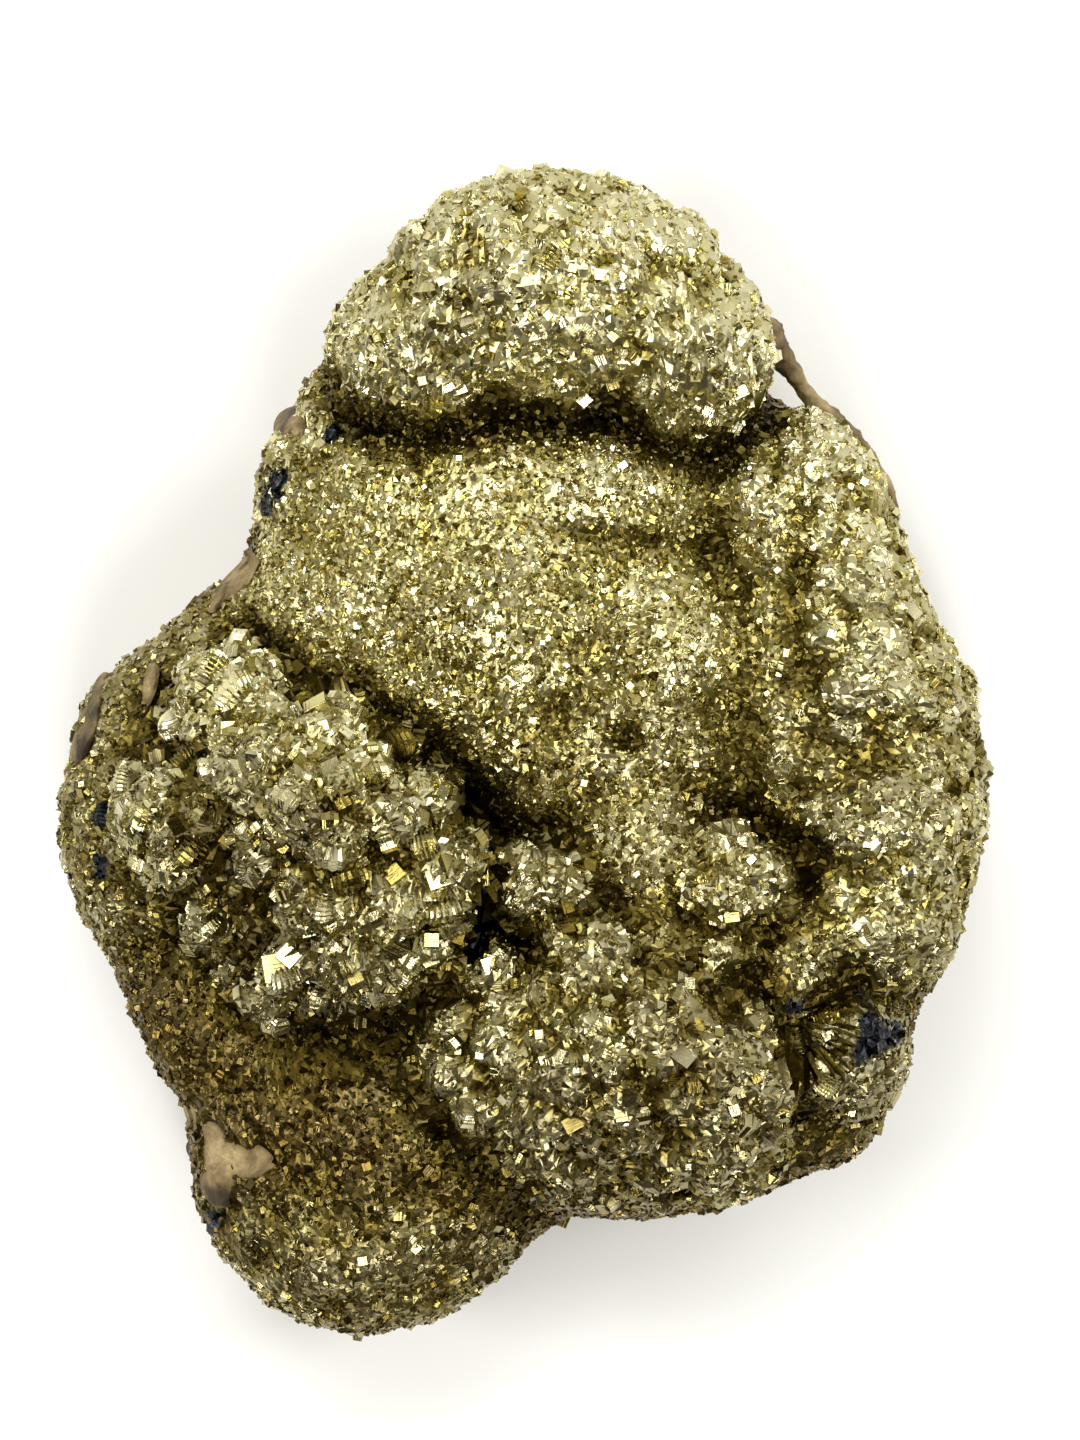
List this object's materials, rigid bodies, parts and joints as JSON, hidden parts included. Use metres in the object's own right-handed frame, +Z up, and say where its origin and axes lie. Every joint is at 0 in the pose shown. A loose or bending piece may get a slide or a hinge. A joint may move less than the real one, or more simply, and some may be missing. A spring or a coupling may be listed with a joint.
{
  "type": "pyrite specimen",
  "caption": "Hand specimen of botryoidal pyrite: brassy, drusy rounded mounds grown on tan matrix rock, with a flat underside to rest on.",
  "frame": {"origin": "bottom centre of the specimen's bounding box, on the plane it rests on", "axes": "+Z up from the flat underside through the drusy face, +Y along the specimen's length towards its narrow end, +X to its right side, seen from above"},
  "size_m": [0.0528, 0.066, 0.0275],
  "materials": {
    "pyrite": "metallic lustre, drusy",
    "matrix": "rough, matt"
  },
  "bodies": {
    "root": {"pyrite_crust": "pyrite", "matrix_rock": "matrix"}
  },
  "joints": []
}
